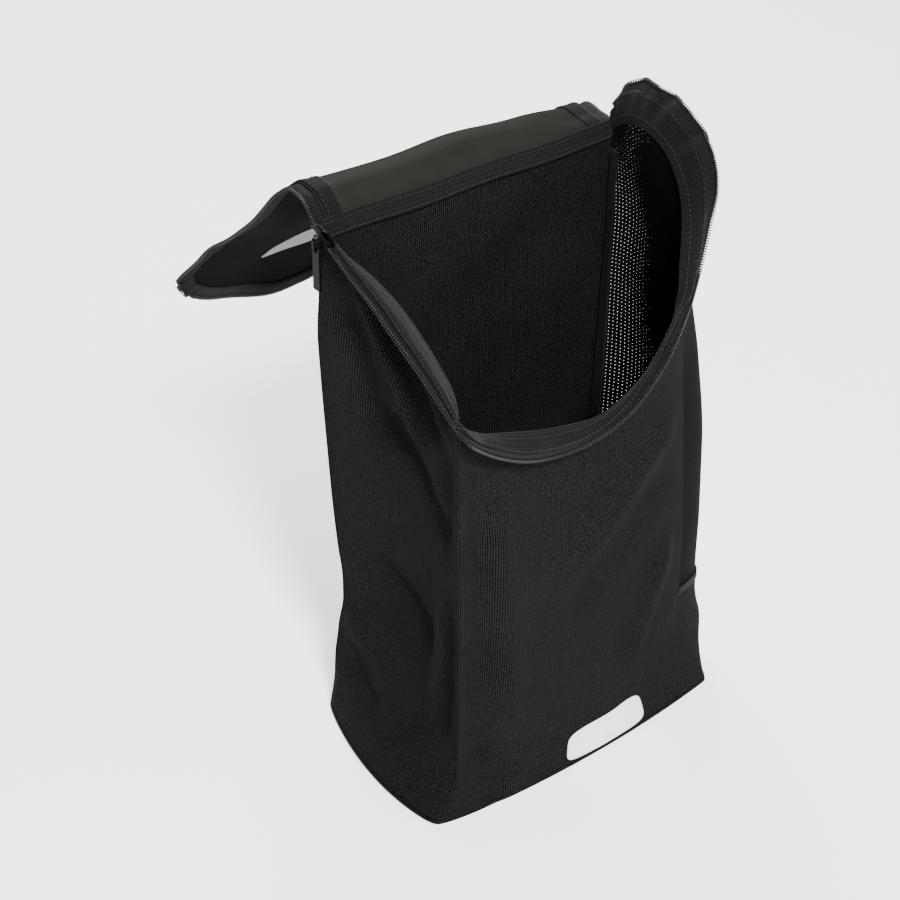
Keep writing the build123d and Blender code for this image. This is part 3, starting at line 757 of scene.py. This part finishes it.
# ================================================================ print on the front wall
def rounded(cols, rows, power=5.0):
    """A grid from -1 to 1 both ways whose corners are drawn in."""
    u, v = np.meshgrid(np.linspace(-1, 1, cols), np.linspace(-1, 1, rows))
    k = (np.abs(u) ** power + np.abs(v) ** power) ** (1 / power)
    f = np.maximum(np.abs(u), np.abs(v)) / np.maximum(k, 1e-6)
    return u * f, v * f


def patch_on(grid, c0, c1, r0, r1, lift, name, mat):
    """A rounded rectangle of film laid on a grid, between fractional columns and rows."""
    u, v = rounded(46, 23)
    fc, fr = (c0 + c1) / 2 + u * (c1 - c0) / 2, (r0 + r1) / 2 + v * (r1 - r0) / 2
    nn = wall_lookup(grid_normals(grid), fc, fr)
    return cloth(name, wall_lookup(grid, fc, fr) + nn * lift, 0.25, mat)


rows_f, cols_f = front.shape[:2]
fx = front_t * 185 - 100
print_cols = np.interp((-21, 36), fx, np.arange(cols_f))
keep(patch_on(front, *print_cols, rows_f * 0.012, rows_f * 0.085, 0.85, "front_print", PRINT), "bag",
     "front_mark", slot="print_film")

# ================================================================ lid
# Profile down the middle of the open lid, from the hinge: distance along the cloth is its own measure.
profile = spline([(62.4, 356.2), (70, 360.5), (80, 362.6), (89, 361.2), (96, 353.5), (106, 342), (122, 323.5),
                  (140, 303.5), (158, 282.5), (172, 266), (181, 250), (188, 233), (193.5, 215)], 700)
prof_s = np.concatenate([[0], np.cumsum(np.linalg.norm(np.diff(profile, axis=0), axis=1))])
CORNER_AT, MIDDLE_AT = 155.0, 196.0
REAR_END, MID_END = 25.0, 151.0


def lid_points(u, s):
    """Points of the lid's middle surface at side share u (-1 left, 1 right) and distance s along it."""
    y = np.interp(s, prof_s, profile[:, 0])
    z = np.interp(s, prof_s, profile[:, 1])
    sway = (s - 27).clip(0) / 129
    left_x, right_x = -98.5 - 31.0 * sway, 98.5 - 14.0 * sway
    x = left_x + (right_x - left_x) * (u + 1) / 2
    fold = 3.2 * np.sin(u * 3.1 + 0.6) * smooth01((s - 35) / 60)
    fold = fold + 1.4 * np.sin(u * 9.0 + s / 28) * smooth01((s - 10) / 60)
    leftward = smooth01((1 - u) / 1.1)
    curl = 6.5 * np.abs(u) ** 5 * smooth01((s - 18) / 30) * smooth01((172 - s) / 40) * leftward
    curl = curl + 4.0 * leftward * smooth01(s / 16) * smooth01((75 - s) / 45)
    curl = curl + 4.0 * leftward * smooth01((s - 60) / 60)
    curl = curl - 4.0 * smooth01((u - 0.55) / 0.4) * smooth01(s / 14)
    z = z + fold * 0.75 + curl + 0.9 * np.sin(x / 17.0 + s / 19) * smooth01(s / 18) * 0.9
    y = y + fold * 0.5
    return np.stack([x, y, z], -1)


def lid_end(u):
    """How far along the cloth its free edge is at side share u."""
    a = np.abs(u)
    return CORNER_AT - 4.5 * smooth01((a - 0.93) / 0.07) ** 2 + (MIDDLE_AT - CORNER_AT) * (1 - a ** 1.45)


def lid_grid(s0, s1, rows):
    """Grid of the whole width of the lid from s0 to s1, or to its free edge where s1 is None."""
    u = np.linspace(-1, 1, 150)
    end = lid_end(u) if s1 is None else np.full(len(u), float(s1))
    s = s0 + (end - s0)[None] * np.linspace(0, 1, rows)[:, None]
    return lid_points(np.broadcast_to(u, s.shape), s)


hinge_bend = ((0, 0.0600, 0.358), (0, 0.0700, 0.360))
fold_bend = ((0, 0.0840, 0.3630), (0, 0.1040, 0.3450))
lip_bend = ((0, 0.1700, 0.2680), (0, 0.1820, 0.2500))


def bend(o, a, b, ends, *replaced, slot=None):
    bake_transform(o)
    if replaced:
        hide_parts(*replaced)
    return o


# Each panel of the lid: its two bodies, where it bends, where it starts and ends along the cloth, its rows.
parts = {
    "rear": ("bag", "lid_rear", hinge_bend, 0.0, REAR_END, 26),
    "mid": ("lid_rear", "lid_mid", fold_bend, REAR_END, MID_END, 80),
    "lip": ("lid_mid", "lid_lip", lip_bend, MID_END, None, 34),
}
LIFT = 0.95  # a binding's middle above the lid's middle
HALF_WIDTH = 98.0  # from the lid's middle to its side edge, for insets
SIDE_COUNT, EDGE_COUNT = 240, 420


def lid_normals(line_u, line_s):
    """Normals of the lid at points given as lid_points takes them."""
    du = lid_points(np.clip(line_u + 0.01, -1, 1), line_s) - lid_points(np.clip(line_u - 0.01, -1, 1), line_s)
    ds = lid_points(line_u, line_s + 1.0) - lid_points(line_u, line_s - 1.0)
    n = np.cross(du, ds)
    return n / np.linalg.norm(n, axis=-1, keepdims=True)


def zip_strip(edge, out, n, drop=1.1):
    """Grid of a zip tape under an edge of the lid, from inside it to outside, where it hangs by drop."""
    return np.array([edge - out * 3.0 - n * 0.95, edge + out * 2.0 - n * 0.9, edge + out * 6.4 - n * drop])


for key, (a, b, ends, s0, s1, rows) in parts.items():
    grid = lid_grid(s0, s1, rows)
    o = cloth(f"lid_cloth_{key}", grid, 1.3, OLIVE, TWILL)
    bend(o, a, b, ends, f"lid_{key}_panel", slot="lid_cloth")
    if key != "lip":
        for side, word in ((-1, "left"), (1, "right")):
            s = np.linspace(s0, s1, SIDE_COUNT)
            lines = []
            for inset in np.linspace(1.0, 12.0, 6):
                uu = np.full(SIDE_COUNT, side * (1 - inset / HALF_WIDTH))
                lines.append(lid_points(uu, s) + lid_normals(uu, s) * LIFT)
            o = cloth(f"lid_binding_{word}_{key}", np.array(lines), 0.9, BINDING, flip=side > 0)
            bend(o, a, b, ends, *([f"lid_{key}_bindings"] if side < 0 else []), slot="ribbed_webbing")
            for inset in (2.4, 10.4):
                uu = np.full(SIDE_COUNT, side * (1 - inset / HALF_WIDTH))
                nn = lid_normals(uu, s)
                seam = lid_points(uu, s) + nn * (LIFT + 0.5)
                o = stitches(f"lid_stitches_{word}_{key}_{int(inset)}", seam, nn)
                bend(o, a, b, ends, slot="ribbed_webbing")
            uu = np.full(SIDE_COUNT, side * 1.0)
            nn = lid_normals(uu, s)
            edge = lid_points(uu, s)
            out = np.array([side * 1.0, 0, 0])
            o = cloth(f"lid_tape_{word}_{key}", zip_strip(edge, out, nn), 0.6, TAPE, flip=side > 0)
            bend(o, a, b, ends, *([f"lid_{key}_zip_tapes"] if side < 0 else []), slot="zip_tape")
            ripple = 0.8 * np.sin(s / 6.5) * smooth01((s - 60) / 60)
            o = coil(f"lid_teeth_{word}_{key}", edge + out * 6.8 - nn * (1.0 + ripple[:, None]), nn)
            bend(o, a, b, ends, *([f"lid_{key}_zip_coils"] if side < 0 else []), slot="zip_coil")
    else:
        u = np.linspace(-1, 1, EDGE_COUNT)
        s = lid_end(u)
        edge = lid_points(u, s)
        n_line = lid_normals(u, s)
        tt = np.gradient(edge, axis=0)
        tt /= np.linalg.norm(tt, axis=1, keepdims=True)
        outw = np.cross(tt, n_line)
        outw *= np.sign((outw[len(outw) // 2] * np.array([0, 0.5, -1])).sum())
        ripple = 1.6 * np.exp(-((np.abs(u) - 0.97) / 0.08) ** 2) * np.sin(np.arange(EDGE_COUNT) / 1.9)
        strip = zip_strip(edge, outw, n_line, 1.1 + ripple[:, None])
        o = cloth("lid_tape_lip", strip, 0.6, TAPE, flip=True)
        bend(o, a, b, ends, "lid_lip_zip_tape", slot="zip_tape")
        o = coil("lid_teeth_lip", edge + outw * 6.8 - n_line * (1.0 + ripple[:, None]), n_line)
        bend(o, a, b, ends, "lid_lip_zip_coil", slot="zip_coil")
        lines = [edge - outw * inset + n_line * LIFT for inset in np.linspace(1.0, 12.0, 6)]
        o = cloth("lid_binding_lip", np.array(lines), 0.9, BINDING, flip=True)
        bend(o, a, b, ends, "lid_lip_binding", slot="ribbed_webbing")

u, s = rounded(60, 24)
u, s = -0.03 + 0.53 * u, 138.5 + 11.5 * s
o = cloth("lid_print", lid_points(u, s) - lid_normals(u, s) * 0.8, 0.2, LID_PRINT_IN_PAINTED_SHADE)
bend(o, "lid_rear", "lid_mid", fold_bend, "lid_mark", slot="print_film")

# ---- zip slider and puller keep their CAD shape
for node in ("slider_body", "slider_bridge", "pull_tab"):
    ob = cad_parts[node]
    ob.data.materials.clear()
    ob.data.materials.append(METAL)


# ================================================================ floor, light, camera
bpy.ops.mesh.primitive_plane_add(size=14, location=(0, 0, -0.0004))
floor = bpy.context.object
floor.name = "floor"
floor_mat = bpy.data.materials.new("pale_floor")
floor_mat.use_nodes = True
floor_inputs = floor_mat.node_tree.nodes["Principled BSDF"].inputs
floor_inputs["Base Color"].default_value = (0.93, 0.93, 0.93, 1)
floor_inputs["Roughness"].default_value = 0.85
floor_inputs["Emission Color"].default_value = (1, 1, 1, 1)
floor_inputs["Emission Strength"].default_value = 0.55
floor.data.materials.append(floor_mat)

world = bpy.data.worlds.new("studio")
bpy.context.scene.world = world
world.use_nodes = True
world.node_tree.nodes["Background"].inputs[0].default_value = (1, 1, 1, 1)
world.node_tree.nodes["Background"].inputs[1].default_value = 0.62


def area(name, location, target, size, power):
    """A round lamp at location that faces target."""
    data = bpy.data.lights.new(name, "AREA")
    data.shape = "DISK"
    data.size = size
    data.energy = power
    o = bpy.data.objects.new(name, data)
    bpy.context.scene.collection.objects.link(o)
    o.location = location
    o.rotation_euler = (Vector(target) - Vector(location)).to_track_quat("-Z", "Y").to_euler()


# A small key from the front left, a weak fill from the right and a rim light behind.
area("key", (-0.5, -1.25, 1.8), (0, 0, 0.2), 0.45, 125)
area("fill", (1.3, -1.2, 1.0), (0, 0, 0.2), 1.2, 22)
area("rim", (0.4, 1.4, 1.5), (0, 0, 0.3), 0.9, 55)

# The camera's place round the bag, its height above it, its tilt and how far it stands from its target.
AZ, EL, ROLL, DIST = math.radians(37.0), math.radians(36.2), math.radians(1.0), 1.265
target = Vector((-0.058, 0, 0.220))
back_dir = Vector((-math.sin(AZ) * math.cos(EL), -math.cos(AZ) * math.cos(EL), math.sin(EL)))
right_dir = Vector((0, 0, 1)).cross(back_dir).normalized()
up_dir = back_dir.cross(right_dir)
view_x = right_dir * math.cos(ROLL) + up_dir * math.sin(ROLL)
view_y = -right_dir * math.sin(ROLL) + up_dir * math.cos(ROLL)
cam_data = bpy.data.cameras.new("camera")
cam_data.sensor_width = 36
cam_data.lens = 87.9
cam = bpy.data.objects.new("camera", cam_data)
bpy.context.scene.collection.objects.link(cam)
cam_matrix = Matrix((view_x, view_y, back_dir)).transposed().to_4x4()
cam_matrix.translation = target + back_dir * DIST
cam.matrix_world = cam_matrix
bpy.context.scene.camera = cam
